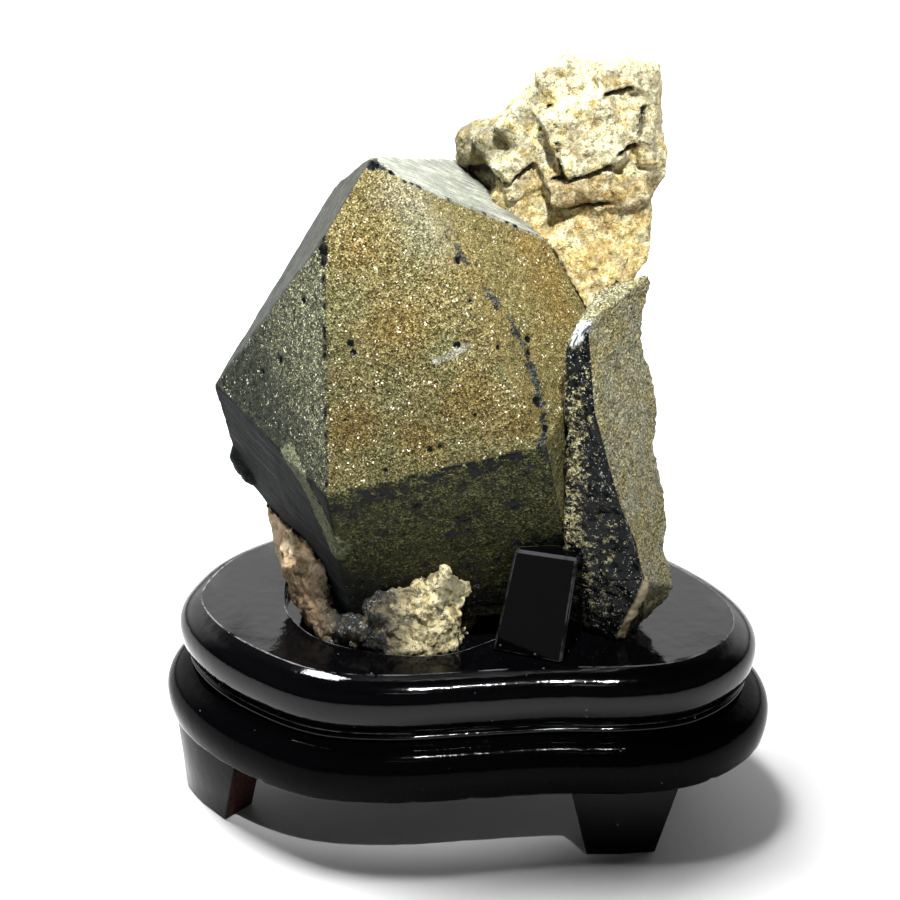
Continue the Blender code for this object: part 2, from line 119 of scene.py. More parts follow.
class Finish:
    """A material under construction."""

    def __init__(self, name):
        self.material = bpy.data.materials.new(name)
        self.material.use_nodes = True
        self.tree = self.material.node_tree
        self.shader = self.tree.nodes["Principled BSDF"]
        self.place = self.node("ShaderNodeTexCoord", {}, {}, "Object")

    def node(self, kind, settings, sockets, output=0):
        made = self.tree.nodes.new(kind)
        for key, value in settings.items():
            if key == "stops":
                ramp = made.color_ramp
                while len(ramp.elements) < len(value):
                    ramp.elements.new(0.5)
                for element, (position, colour) in zip(ramp.elements, value):
                    element.position = position
                    element.color = (*colour, 1.0)
            else:
                setattr(made, key, value)
        for key, value in sockets.items():
            self.feed(made.inputs[key], value)
        return Value(self, made.outputs[output])

    def feed(self, socket, value):
        if isinstance(value, Value):
            self.tree.links.new(value.socket, socket)
        elif isinstance(value, (tuple, list)) and len(value) == 3 and socket.type == "RGBA":
            socket.default_value = (*value, 1.0)
        else:
            socket.default_value = value

    def mix(self, amount, first, second, blend="MIX"):
        """Colours: the first where the amount is 0, the second where it is 1."""
        return self.node("ShaderNodeMix", {"data_type": "RGBA", "blend_type": blend},
                         {0: amount, 6: first, 7: second}, 2)

    def vector(self, operation, a, b=None, factor=None, output=0):
        sockets = {0: a}
        if b is not None:
            sockets[1] = b
        if factor is not None:
            sockets["Scale"] = factor
        return self.node("ShaderNodeVectorMath", {"operation": operation}, sockets, output)

    def drawn_out(self, direction, keep=0.07):
        """The place on the piece, shrunk along a direction, so that a pattern becomes streaks that way."""
        along = self.vector("DOT_PRODUCT", self.place, direction, output="Value")
        lost = self.vector("SCALE", direction, factor=along * (1 - keep))
        return self.vector("SUBTRACT", self.place, lost)

    def cloud(self, size, detail=3.0, rough=0.5, place=None, output=0):
        return self.node("ShaderNodeTexNoise", {}, {"Vector": place or self.place, "Scale": 1 / size,
                                                    "Detail": detail, "Roughness": rough}, output)

    def wavering(self, size, reach):
        """The place on the piece, moved about by up to the reach, so that a pattern's lines turn uneven."""
        push = self.vector("SUBTRACT", self.cloud(size, 3, 0.6, output="Color"), (0.5, 0.5, 0.5))
        return self.vector("ADD", self.place, self.vector("SCALE", push, factor=2 * reach))

    def cells(self, size, output="Color", place=None, feature="F1"):
        return self.node("ShaderNodeTexVoronoi", {"feature": feature},
                         {"Vector": place or self.place, "Scale": 1 / size}, output)

    def part_of(self, colour, which):
        return self.node("ShaderNodeSeparateColor", {}, {0: colour}, which)

    def painted(self, name):
        """A number kept on the piece's own points."""
        return self.node("ShaderNodeAttribute", {"attribute_name": name}, {}, "Fac")

    def facets(self, size, tilt, place=None):
        """The surface's normal, turned a different way in each small crystal of the crust."""
        normal = self.node("ShaderNodeNewGeometry", {}, {}, "Normal")
        turn = self.vector("SUBTRACT", self.cells(size, place=place), (0.5, 0.5, 0.5))
        return self.vector("NORMALIZE", self.vector("ADD", normal, self.vector("SCALE", turn, factor=tilt)))

    def bump(self, height, depth, normal=None):
        sockets = {"Height": height, "Distance": depth}
        if normal is not None:
            sockets["Normal"] = normal
        return self.node("ShaderNodeBump", {}, sockets)

    def set(self, **sockets):
        for name, value in sockets.items():
            self.feed(self.shader.inputs[name.replace("_", " ")], value)
        return self.material


# Modelling helpers

def deselect():
    for thing in bpy.context.selected_objects:
        thing.select_set(False)


def pick(piece):
    """Make one object the only selected and active one."""
    if bpy.context.object and bpy.context.object.mode != "OBJECT":
        bpy.ops.object.mode_set(mode="OBJECT")
    deselect()
    piece.select_set(True)
    bpy.context.view_layer.objects.active = piece


def shaped_from(node, name):
    """A merged copy of a solid, to shape a piece from."""
    piece = frame["nodes"][node].copy()
    piece.data = piece.data.copy()
    piece.name = name
    bpy.context.collection.objects.link(piece)
    pick(piece)
    bpy.ops.object.mode_set(mode="EDIT")
    bpy.ops.mesh.select_all(action="SELECT")
    bpy.ops.mesh.remove_doubles(threshold=MERGED)
    bpy.ops.mesh.normals_make_consistent(inside=False)
    bpy.ops.object.mode_set(mode="OBJECT")
    return piece


def apply(piece, kind, **settings):
    pick(piece)
    modifier = piece.modifiers.new(kind.title(), kind)
    for key, value in settings.items():
        setattr(modifier, key, value)
    bpy.ops.object.modifier_apply(modifier=modifier.name)


def points(piece):
    flat = np.empty(len(piece.data.vertices) * 3)
    piece.data.vertices.foreach_get("co", flat)
    return flat.reshape(-1, 3)


def outwards(piece):
    flat = np.empty(len(piece.data.vertices) * 3)
    piece.data.vertices.foreach_get("normal", flat)
    return flat.reshape(-1, 3)


def paint(piece, name, values):
    """Keep a number on each point, for the materials."""
    layer = piece.data.attributes.get(name) or piece.data.attributes.new(name, "FLOAT", "POINT")
    layer.data.foreach_set("value", np.clip(values, 0.0, 1.0).astype(np.float32))


def group(piece, name, weights):
    """A vertex group from weights between 0 and 1."""
    made = piece.vertex_groups.new(name=name)
    steps = np.round(np.clip(weights, 0.0, 1.0) * WEIGHT_STEPS).astype(int)
    for step in range(1, WEIGHT_STEPS + 1):
        made.add(np.nonzero(steps == step)[0].tolist(), step / WEIGHT_STEPS, "REPLACE")
    return name


def pattern(kind, size, **settings):
    """A procedural pattern for Displace modifiers."""
    made = bpy.data.textures.new(kind.lower(), kind)
    made.noise_scale = size
    for key, value in settings.items():
        setattr(made, key, value)
    return made


def displace(piece, texture, height, middle=0.5, where=""):
    apply(piece, "DISPLACE", texture=texture, strength=height, mid_level=middle, vertex_group=where,
          texture_coords="LOCAL")


def smooth(values, low, high):
    t = np.clip((values - low) / (high - low), 0.0, 1.0)
    return t * t * (3 - 2 * t)


def nearest_spot(places, spots):
    """How deep each point lies in the nearest spot, given in mm: 1 at its middle, 0 outside all of them."""
    depth = np.zeros(len(places))
    for *middle, radius in spots:
        depth = np.maximum(depth, 1 - np.linalg.norm(places / MM - middle, axis=1) / radius)
    return depth


def nearest_line(places, line, radius):
    """How near each point lies to a line through places in mm: 1 on it, 0 at the radius or further."""
    line = np.array(line) * MM
    least = np.full(len(places), np.inf)
    for start, end in zip(line, line[1:]):
        run = end - start
        share = np.clip((places - start) @ run / (run @ run), 0.0, 1.0)
        least = np.minimum(least, np.linalg.norm(places - start - share[:, None] * run, axis=1))
    return np.clip(1 - least / (radius * MM), 0.0, 1.0)


FACE_REACH = 3 * MM
SAME_WAY = 0.9              # least cosine between a wall and the face that it is taken for


def face_nearness(piece, faces, walls):
    """How near each point is to each named flat face of a crystal: 1 on it, 0 at the reach behind it."""
    names = list(faces)
    normals = np.array([faces[name] for name in names])
    places = points(piece)
    near = {name: np.full(len(places), -1.0) for name in names}
    for normal, offset in walls:
        closeness = normals @ normal
        name = names[int(np.argmax(closeness))]
        if closeness.max() < SAME_WAY:
            continue
        near[name] = np.maximum(near[name], places @ normal - offset)
    return {name: 1 + depth / FACE_REACH for name, depth in near.items()}


def flat_walls(piece):
    """The planes of a convex solid's faces, each with its outward normal and its distance."""
    walls = []
    for face in piece.data.polygons:
        normal = np.array(face.normal)
        walls.append((normal, float(normal @ np.array(face.center))))
    return walls


# The main crystal

CRYSTAL_FACES = {   # the way each flat face points
    "front": (-0.094, -0.918, 0.385), "right": (0.597, -0.538, 0.595), "cap": (0.508, 0.065, 0.859),
    "sliver": (-0.848, 0.055, 0.527), "left": (-0.786, -0.573, 0.234), "lower": (0.085, -0.941, -0.327),
    "side": (-0.815, -0.520, -0.252),
}
# Spots on it, each a middle and a radius in millimetres
PITS = [            # small bare hollows in the crust
    (-38.8, -14.6, 173.9, 2.9), (-39.1, -15.4, 170.8, 2.5), (-31.4, -25.2, 151.2, 1.7),
    (-30.6, -26.1, 149.2, 1.3), (-2.2, -17.1, 172.1, 1.7), (1.0, -23.6, 163.0, 1.2),
    (-2.7, -27.8, 152.1, 1.4), (8.5, -27.9, 151.6, 1.3), (16.7, -20.3, 150.3, 1.6),
    (16.9, -22.9, 147.7, 1.4), (18.7, -32.1, 137.5, 2.2), (21.1, -36.1, 131.5, 1.8),
    (-10.0, -38.0, 125.8, 1.4), (-7.3, -37.9, 126.7, 1.2), (2.1, -35.4, 135.0, 1.1),
    (-22.1, -39.1, 120.3, 1.1), (-44.3, -13.2, 158.6, 1.3), (-51.2, -11.5, 139.7, 1.6),
    (-56.7, -6.5, 133.6, 1.3), (-25.3, -6.8, 196.5, 4.4), (-22.7, -7.5, 195.6, 3.0),
    (-19.7, -8.5, 194.0, 1.7), (-16.6, -9.7, 192.0, 1.4), (-63.9, 9.5, 134.1, 2.2),
]
SCUFFS = [
    (-8.1, -28.9, 148.2, 2.0), (-5.7, -28.8, 149.0, 2.1), (-3.3, -28.4, 150.3, 2.1),
    (-0.9, -28.2, 151.4, 1.8),
]
PALE_SPOTS = [
    (-14.0, -12.2, 186.0, 12), (-11.0, -14.5, 180.0, 12), (-19.0, -10.8, 189.5, 10), (-8.0, -16.0, 174.0, 9),
]
RUSTY_SPOTS = [
    (21.3, -4.0, 160.3, 12), (25.5, -7.6, 153.0, 10), (17.2, -0.4, 167.7, 9), (0.7, -33.7, 138.7, 15),
    (-18.0, -24.9, 155.2, 13), (-31.4, -34.2, 129.9, 12), (-12.6, -36.8, 128.2, 12),
    (-28.6, -15.8, 174.4, 12), (14.1, -36.9, 134.3, 10),
]
SNAGS = [(-66.0, 11.4, 96.3, 5.0), (-65.1, 10.9, 94.6, 4.5), (-63.0, 8.1, 93.4, 4.0)]
RIDGE = [           # the bare line between the front and right faces
    (-7.3, -12.7, 181.2), (-4.1, -14.6, 176.2), (-1.4, -16.1, 172.2), (1.8, -17.4, 167.8),
    (4.5, -18.2, 164.4), (8.8, -19.3, 159.0), (12.9, -21.1, 153.4), (15.8, -23.5, 148.2),
    (17.7, -26.6, 143.5), (19.3, -30.4, 138.5), (20.0, -35.6, 133.0), (20.2, -40.2, 127.9),
]
RIDGE_REACH = 4.2
RIDGE_FADE = ((128, 150, 162, 180), (1, 1, 0.9, 0.8))      # heights, and the line's strength there
STRIP = [           # the pale crust down the edge between the dark prism face and the lower face
    (-48.6, -24.0, 117.0), (-46.8, -27.2, 114.6), (-44.8, -30.3, 111.8), (-42.4, -32.4, 107.0),
    (-40.2, -32.6, 101.0), (-38.0, -32.6, 95.5), (-36.2, -32.6, 91.5),
]
STRIP_REACH = 6.8
SHADOW_SPOTS = [           # painted shadow: the darkest places under the crystal, drawn near black
    (-31, -26, 73, 17), (-20, -25, 71, 15), (-35, -29, 78, 10), (5, -24, 68, 12),
]
STRIAE = (0.567, -0.809, -0.152)        # the way the prism face's fine lines run


def make_main_crystal():
    crystal = shaped_from("main_crystal", "main_crystal_druse")
    walls = flat_walls(crystal)
    apply(crystal, "REMESH", mode="VOXEL", voxel_size=CRYSTAL_VOXEL)
    apply(crystal, "SHRINKWRAP", target=frame["nodes"]["main_crystal"], wrap_method="NEAREST_SURFACEPOINT")
    near = face_nearness(crystal, CRYSTAL_FACES, walls)
    places = points(crystal)
    on = {name: smooth(value, 0.75, 0.95) for name, value in near.items()}
    bare = np.maximum(np.maximum(on["side"], on["sliver"]), 0.7 * on["cap"])
    druse = group(crystal, "druse", 1 - 0.85 * bare)
    pits = nearest_spot(places, PITS)
    pitted = group(crystal, "pitted", pits * 1.5)
    displace(crystal, pattern("CLOUDS", 9 * MM, noise_depth=1), 0.7 * MM)
    displace(crystal, pattern("CLOUDS", 2.2 * MM, noise_depth=2), 0.5 * MM, where=druse)
    displace(crystal, pattern("VORONOI", 1.5 * MM), 0.35 * MM, where=druse)
    displace(crystal, None, -0.9 * MM, middle=0.0, where=pitted)
    strip = nearest_line(places, STRIP, STRIP_REACH)
    raised = group(crystal, "raised", smooth(strip, 0.3, 0.6))
    displace(crystal, pattern("CLOUDS", 1.8 * MM, noise_depth=2), 1.1 * MM, middle=0.2, where=raised)
    paint(crystal, "strip", strip)
    ridge = nearest_line(places, RIDGE, RIDGE_REACH)
    paint(crystal, "ridge", ridge * np.interp(places[:, 2] / MM, *RIDGE_FADE))
    paint(crystal, "gloom", nearest_spot(places, SHADOW_SPOTS) * (near["lower"] > 0.2))
    snagged = group(crystal, "snagged", nearest_spot(places, SNAGS) * 1.6)
    displace(crystal, None, 1.8 * MM, middle=0.0, where=snagged)
    for name, value in near.items():
        paint(crystal, name, value)
    paint(crystal, "pit", pits)
    # painted shade: the lower face darker towards the bottom and the right
    paint(crystal, "dusk", smooth(-places[:, 2] + 0.15 * places[:, 0], -0.128, -0.080))
    for name, spots in (("scuff", SCUFFS), ("haze", PALE_SPOTS), ("rusty", RUSTY_SPOTS)):
        paint(crystal, name, nearest_spot(places, spots))
    paint(crystal, "brow", smooth(near["front"], -3.5, 0.6))
    # painted shade: the crust darker lower down the crystal
    dull = smooth(-places[:, 2] - 0.3 * places[:, 0], -0.175, -0.125)
    paint(crystal, "dull", dull * (near["lower"] < 0.9))
    # the left face darker towards its lower left
    paint(crystal, "sooted", smooth(-places[:, 0] - 0.55 * places[:, 2], -0.048, -0.006))
    bpy.ops.object.shade_smooth()
    return crystal


def crystal_finish():
    f = Finish("gold druse on black quartz")
    face = {name: f.painted(name) for name in CRYSTAL_FACES}
    on = {name: value.step(0.80, 0.97) for name, value in face.items()}
    ragged = f.cloud(3 * MM, 4, 0.65)
    broad = f.cloud(16 * MM, 3, 0.55)
    patchy = f.cloud(5 * MM, 4, 0.6, place=f.vector("ADD", f.place, (0.7, 0.2, 0.4)))

    grain = f.cells(CRUST_GRAIN)
    pick_one = f.part_of(grain, "Red")
    pick_two = f.part_of(grain, "Green")
    fine = f.part_of(f.cells(CRUST_FINE), "Red")
    drift = (f.cloud(1.7 * MM, 3, 0.6) - 0.5) * 0.5
    mixed = pick_one * 0.6 + fine * 0.4 + drift
    gold = f.node("ShaderNodeValToRGB", {"stops": [
        (0.0, (0.018, 0.014, 0.005)), (0.25, (0.070, 0.054, 0.018)), (0.5, (0.158, 0.127, 0.044)),
        (0.75, (0.28, 0.235, 0.10)), (1.0, (0.56, 0.50, 0.29))]}, {0: mixed})
    olive = f.node("ShaderNodeValToRGB", {"stops": [
        (0.0, (0.004, 0.005, 0.004)), (0.35, (0.028, 0.031, 0.020)), (0.6, (0.10, 0.105, 0.058)),
        (0.82, (0.25, 0.25, 0.155)), (1.0, (0.55, 0.54, 0.37))]}, {0: mixed})
    # painted shade: the downward-facing lower face gets a darker copy of the olive crust, darker still
    # towards the bottom
    shade = f.mix(f.painted("dusk"), f.mix(1.0, olive, (0.62, 0.62, 0.42), "MULTIPLY"),
                  f.mix(1.0, olive, (0.20, 0.20, 0.10), "MULTIPLY"))
    olive_dark = f.mix(1.0, olive, (0.24, 0.27, 0.28), "MULTIPLY")
    blotch = f.cloud(2.0 * MM, 4, 0.7).step(0.52, 0.62)
    olive = f.mix(blotch * 0.85, f.mix(1.0, olive, (1.28, 1.28, 1.24), "MULTIPLY"),
                  f.mix(1.0, olive, (0.36, 0.39, 0.42), "MULTIPLY"))
    # the left face darker towards its lower left
    olive = f.mix((f.painted("sooted") + (patchy - 0.5) * 0.6).step(0.0, 1.0), olive, olive_dark)
    brown = f.mix(1.0, gold, (1.0, 0.87, 0.66), "MULTIPLY")
    green = f.mix(1.0, gold, (0.88, 0.98, 1.02), "MULTIPLY")
    crust = f.mix(broad.step(0.44, 0.60), green, gold)
    rusty = f.mix(1.0, gold, (1.04, 0.80, 0.50), "MULTIPLY")
    crust = f.mix((f.painted("rusty") * 0.9 + (patchy - 0.5) * 1.6).step(0.0, 0.75) * 0.60, crust, brown)
    crust = f.mix((f.painted("rusty") + (ragged - 0.5) * 2.0).step(0.30, 0.90) * 0.38, crust, rusty)
    crust = f.mix(on["right"] * 0.3, crust, brown)
    hazy = (f.painted("haze") + (patchy - 0.5) * 1.1).step(0.0, 1.3)
    crust = f.mix(hazy * (0.15 + 0.45 * pick_one), crust, (0.42, 0.41, 0.31))
    scuffed = (f.painted("scuff") + (ragged - 0.5) * 1.4).step(0.2, 0.5)
    crust = f.mix(scuffed * (0.2 + 0.45 * pick_two), crust, (0.44, 0.45, 0.40))
    # painted shade: a darker copy of the crust for the lower parts
    dull = f.mix(1.0, crust, (0.55, 0.56, 0.55), "MULTIPLY")
    crust = f.mix(f.painted("dull"), crust, dull)
    crust = f.mix(on["left"], crust, olive)
    # painted shadow under the crystal, near black on the lower face
    shade = f.mix(f.painted("gloom").step(0.0, 0.75), shade, (0.006, 0.006, 0.004))
    crust = f.mix(on["lower"], crust, shade)
    glint = (pick_two * 0.8 + (ragged - 0.5) * 0.5).step(0.79, 0.82)
    crust = f.mix(glint * (0.75 - on["lower"] * 0.6 - on["left"] * 0.1), crust, (0.92, 0.88, 0.68))

    pale = f.mix(patchy.step(0.35, 0.65), (0.18, 0.195, 0.177), (0.33, 0.35, 0.30))
    crust = f.mix(on["cap"] * (0.60 + 0.30 * pick_one), crust, pale)
    bluish = f.cloud(0.8 * MM, 3, 0.6, place=f.drawn_out((0.80, 0.35, -0.49), 0.08)).step(0.48, 0.62)
    bluish = bluish * (1 - f.painted("haze"))
    crust = f.mix(on["cap"] * bluish * (0.35 + 0.5 * patchy.step(0.42, 0.60)), crust, (0.055, 0.066, 0.074))
    grey = f.mix(ragged.step(0.35, 0.7), (0.028, 0.031, 0.030), (0.065, 0.070, 0.069))
    crust = f.mix(on["sliver"] * 0.92, crust, grey)

    streak = f.cloud(0.9 * MM, 4, 0.65, place=f.drawn_out(STRIAE, 0.04))
    band = f.cloud(5 * MM, 2, 0.5, place=f.drawn_out(STRIAE, 0.04)).step(0.52, 0.66)
    lined = streak.step(0.50, 0.72) * (0.45 + 0.55 * band)
    glass = f.mix(lined, (0.002, 0.003, 0.0035), (0.060, 0.068, 0.075))
    glass = f.mix(on["side"], (0.003, 0.004, 0.0045), glass)
    bald_ridge = (face["left"].least(face["front"])).step(0.70, 0.95) * ragged.step(0.42, 0.60)
    right_ridge = (f.painted("ridge") + (ragged - 0.5) * 2.4).step(0.66, 0.88)
    slate = f.mix(pick_one.step(0.45, 0.95), (0.003, 0.005, 0.007), (0.085, 0.098, 0.10))
    crust = f.mix(right_ridge * 0.92, crust, slate)
    top_ridge = (face["cap"].least(face["right"])).step(0.72, 0.95) * ragged.step(0.45, 0.62)
    low_bald = face["lower"].step(0.7, 0.9) * f.painted("brow") * patchy.step(0.44, 0.54)
    lower_bald = on["lower"] * patchy.step(0.57, 0.63)
    holes = (f.painted("pit") + (ragged - 0.5) * 1.2).step(0.28, 0.46)
    flecks = f.cloud(2.6 * MM, 5, 0.6, place=f.vector("ADD", f.place, (0.3, 0.5, 0.1))).step(0.695, 0.72)
    bald = bald_ridge.most(top_ridge).most(low_bald).most(lower_bald).most(on["side"])
    strip = (f.painted("strip") + (ragged - 0.5) * 0.9).step(0.40, 0.54)
    bald = bald * (1 - strip)
    pale_olive = f.mix(mixed, (0.012, 0.015, 0.008), (0.24, 0.26, 0.155))
    crust = f.mix(strip * (1 - on["lower"] * 0.5), crust, pale_olive)
    bald = bald.most(holes).most(flecks * (1 - on["cap"]) * (1 - on["sliver"]))
    colour = f.mix(bald, crust, glass)

    normal = f.facets(CRUST_GRAIN, 0.95)
    flat = f.node("ShaderNodeNewGeometry", {}, {}, "Normal")
    calm = bald.most(on["cap"] * 0.6).most(on["sliver"] * 0.8)
    normal = f.vector("NORMALIZE", f.mix(calm, normal, flat))
    lumps = f.cells(CRUST_GRAIN, "Distance") * (1 - calm) * 0.6 + fine * (1 - calm) * 0.4
    lumps = lumps + streak * on["side"] * 2.0
    return f.set(Base_Color=colour, Specular_IOR_Level=0.12,
                 Roughness=0.42 - 0.20 * bald + 0.10 * fine + 0.45 * on["side"] + 0.25 * on["sliver"],
                 Metallic=(1 - bald) * (1 - on["cap"]) * (1 - on["sliver"]) * 0.2,
                 Normal=f.bump(lumps, 0.25 * MM, normal))


# The side crystal

SIDE_FACES = {"dark": (-0.32, -0.945, -0.06), "gold": (0.80, -0.55, 0.25), "chip": (0.60, -0.70, -0.36)}
SIDE_EDGE = [       # height and furthest x of the side crystal's wavy right edge, in millimetres
    (165, 47.5), (160.4, 49.9), (156.5, 48.9), (150.8, 48.6), (142.9, 47.0), (135.6, 50.2), (126.6, 52.2),
    (110.9, 52.5), (101.4, 54.5), (91.7, 55.5), (83.5, 56.0), (76.6, 57.9), (67, 58.5),
]
SIDE_RIDGE = [      # height and x of its ridge: black glass lies left of it
    (165, 31.0), (157.6, 32.1), (151.2, 32.7), (143.5, 33.3), (135.1, 34.2), (127.6, 36.2), (115.2, 39.5),
    (108.8, 41.3), (93.9, 46.6), (81.1, 49.5), (58, 50.5),
]
SILVER = [(28.6, -29.5, 155.4, 4.0), (31.0, -26.0, 157.0, 3.2)]
EDGE_STEP = 1.5 * MM        # the edge's place is found once in each such step of height
EDGE_REACH = 14 * MM


def wavy_edge(piece, edge, reach):
    """Move the right side of a piece to the line of heights and x values, less and less over the reach."""
    places = points(piece)
    heights, lines = (np.array(edge)[::-1] * MM).T
    wanted = np.interp(places[:, 2], heights, lines)
    level = np.round(places[:, 2] / EDGE_STEP).astype(int)
    furthest = np.array([places[level == one, 0].max() for one in level])
    weight = smooth(places[:, 0] - furthest, -reach, 0.0) * smooth(places[:, 2], 0.067, 0.074)
    places[:, 0] += (wanted - furthest) * weight
    piece.data.vertices.foreach_set("co", places.ravel())
    piece.data.update()


def make_side_crystal():
    crystal = shaped_from("side_crystal", "side_crystal_druse")
    walls = flat_walls(crystal)
    apply(crystal, "REMESH", mode="VOXEL", voxel_size=SIDE_VOXEL)
    apply(crystal, "SHRINKWRAP", target=frame["nodes"]["side_crystal"], wrap_method="NEAREST_SURFACEPOINT")
    near = face_nearness(crystal, SIDE_FACES, walls)
    wavy_edge(crystal, SIDE_EDGE, EDGE_REACH)
    displace(crystal, pattern("CLOUDS", 7 * MM, noise_depth=1), 2.4 * MM)
    displace(crystal, pattern("CLOUDS", 2.4 * MM, noise_depth=2), 1.3 * MM)
    displace(crystal, pattern("VORONOI", 1.4 * MM), 0.35 * MM)
    for name, value in near.items():
        paint(crystal, name, value)
    places = points(crystal)
    x, y, z = places.T
    heights, ridge = (np.array(SIDE_RIDGE)[::-1] * MM).T
    left_of_ridge = smooth(np.interp(z, heights, ridge) - x, -0.0006, 0.0006)
    facing = smooth(-outwards(crystal)[:, 1], 0.15, 0.35)
    paint(crystal, "black", left_of_ridge * facing * smooth(-z, -0.1585, -0.1570))
    crowd = smooth(-x, -0.0360, -0.0285) * (0.4 + 0.6 * smooth(z, 0.086, 0.100) * smooth(-z, -0.150, -0.134))
    scattered = 0.55 * smooth(-x, -0.048, -0.032) * smooth(-z, -0.110, -0.090)
    paint(crystal, "crowd", np.maximum(crowd, scattered))
    paint(crystal, "silver", nearest_spot(places, SILVER))
    bpy.ops.object.shade_smooth()
    return crystal


def side_finish():
    f = Finish("crusted black quartz")
    face = {name: f.painted(name) for name in SIDE_FACES}
    ragged = f.cloud(3 * MM, 4, 0.65)
    patchy = f.cloud(6 * MM, 4, 0.6)
    grain = f.part_of(f.cells(SIDE_GRAIN), "Red")
    fine = f.part_of(f.cells(SIDE_FINE), "Green")
    mixed = grain * 0.6 + fine * 0.4
    grey_gold = f.node("ShaderNodeValToRGB", {"stops": [
        (0.0, (0.018, 0.018, 0.011)), (0.25, (0.075, 0.074, 0.043)), (0.55, (0.18, 0.172, 0.102)),
        (1.0, (0.55, 0.53, 0.36))]}, {0: mixed})
    gold = f.node("ShaderNodeValToRGB", {"stops": [
        (0.0, (0.02, 0.018, 0.008)), (0.4, (0.14, 0.125, 0.055)), (1.0, (0.62, 0.59, 0.36))]}, {0: mixed})
    sparks = (fine * 0.7 + f.cloud(2 * MM, 3, 0.6) * 0.6).step(0.98, 1.02)
    glass = f.mix(ragged.step(0.4, 0.7), (0.0025, 0.003, 0.0035), (0.014, 0.016, 0.016))
    glass = f.mix(sparks * 0.6, glass, (0.50, 0.52, 0.46))
    dark = (f.painted("black") + (ragged - 0.5) * 0.5).step(0.42, 0.58)
    clusters = (f.cloud(2.2 * MM, 5, 0.75) + f.painted("crowd") * 0.15).step(0.615, 0.64)
    broad = f.cloud(9 * MM, 3, 0.6)
    warmer = f.mix(1.0, grey_gold, (1.02, 0.92, 0.70), "MULTIPLY")
    grey_gold = f.mix(broad.step(0.42, 0.62), grey_gold, warmer)
    grey_gold = f.mix(ragged.step(0.58, 0.70) * 0.35, grey_gold, (0.022, 0.022, 0.018))
    colour = f.mix(dark, grey_gold, f.mix(clusters, glass, gold))
    tan = f.mix(patchy.step(0.4, 0.6), (0.17, 0.13, 0.07), (0.30, 0.25, 0.16))
    chip = face["chip"].step(0.7, 0.95) * (face["dark"] + (ragged - 0.5) * 0.8).step(0.25, 0.45)
    colour = f.mix(face["chip"].step(0.7, 0.95) * 0.7, colour, (0.030, 0.029, 0.018))
    colour = f.mix(chip, colour, tan)
    tip = (f.painted("silver") + (ragged - 0.5) * 0.9).step(0.20, 0.45)
    streak = f.cloud(0.8 * MM, 3, 0.6, place=f.drawn_out((0.55, 0.30, 0.78), 0.12)).step(0.42, 0.58)
    colour = f.mix(tip, colour, f.mix(streak, (0.07, 0.075, 0.075), (0.55, 0.57, 0.56)))
    crusted = (1 - dark * (1 - clusters)) * (1 - chip)
    flat = f.node("ShaderNodeNewGeometry", {}, {}, "Normal")
    normal = f.vector("NORMALIZE", f.mix(crusted, flat, f.facets(SIDE_GRAIN, 1.1)))
    lumps = f.cells(0.6 * MM, "Distance") * crusted + ragged * 0.6
    return f.set(Base_Color=colour, Specular_IOR_Level=0.12, Roughness=0.20 + 0.26 * crusted,
                 Metallic=crusted * 0.25, Normal=f.bump(lumps, 0.3 * MM, normal))


# The matrix rock

def fracture(piece, size, tall, shift, where=None):
    """Break the surface into small flat facets, each tilted its own way, as rough rock breaks."""
    places = points(piece)
    normals = outwards(piece)
    moved = places.copy()
    for i, place in enumerate(places):
        spot = Vector(place) / size + shift
        middle = noise.voronoi(spot)[1][0]
        lean = noise.cell_vector(middle * 7.3)
        height = (spot - middle).dot(lean * 2 - Vector((1, 1, 1))) * tall
        moved[i] += normals[i] * (height if where is None else height * where[i])
    piece.data.vertices.foreach_set("co", moved.ravel())
    piece.data.update()


ROCK_BLOCKS = [     # middle, size, turns about Y and Z, and lean and bluntness where they differ
    ((31.5, 14.6, 195.5), (18, 14, 20), -24, 8), ((30.5, 17.0, 182.6), (18, 12, 9), -20, 4),
    ((42.6, 15.0, 180.3), (14, 13, 7), -12, -6), ((41.2, 20.0, 210.6), (12, 14, 6.5), -12, 6),
    ((41.7, 19.4, 202.6), (10, 11, 5), -12, 0), ((41.9, 15.6, 197.2), (8, 12, 8), -8, 12),
    ((50.2, 20.0, 198.6), (5, 16, 25), -3, -10), ((47.6, 20.0, 210.4), (9, 13, 8), 4, 0),
    ((26.6, 24.0, 207.2), (12, 14, 12), -28, 4), ((34.6, 24.6, 209.4), (9, 11, 8), -8, -8),
    ((17.0, 22.8, 199.0), (19, 13, 9), -42, 14), ((15.2, 16.6, 189.2), (18, 10, 6), -38, 22),
    ((14.2, 15.8, 180.2), (10, 9, 5), -24, 18), ((24.0, 15.6, 186.5), (9, 9, 14), -14, 12),
    ((3.8, 30.5, 187.0), (14, 12, 12.5), -16, 12, -10, 5.4), ((26.0, 17.6, 172.5), (38, 12, 13), -5, 3),
    ((9.0, 23.8, 190.6), (13, 8, 9), -34, 10), ((16.5, 21.0, 185.5), (15, 9, 10), -36, 18),
    ((-6.5, -25.0, 77.5), (7, 9, 9), -28, 15), ((-12.5, -26.0, 71.0), (9, 9, 7), 18, -12),
    ((-23.5, -26.5, 70.0), (8, 8, 7), 35, 20), ((-2.2, -26.0, 68.5), (7, 9, 8), -12, 8),
    ((-17.0, -27.5, 64.0), (10, 7, 6), -8, 14), ((-31.5, -26.0, 63.0), (8, 7, 5), 12, -16),
    ((-49.0, -10.5, 79.0), (6, 8, 10), 20, 12), ((-46.0, -12.0, 67.0), (5, 7, 11), -14, 20),
]
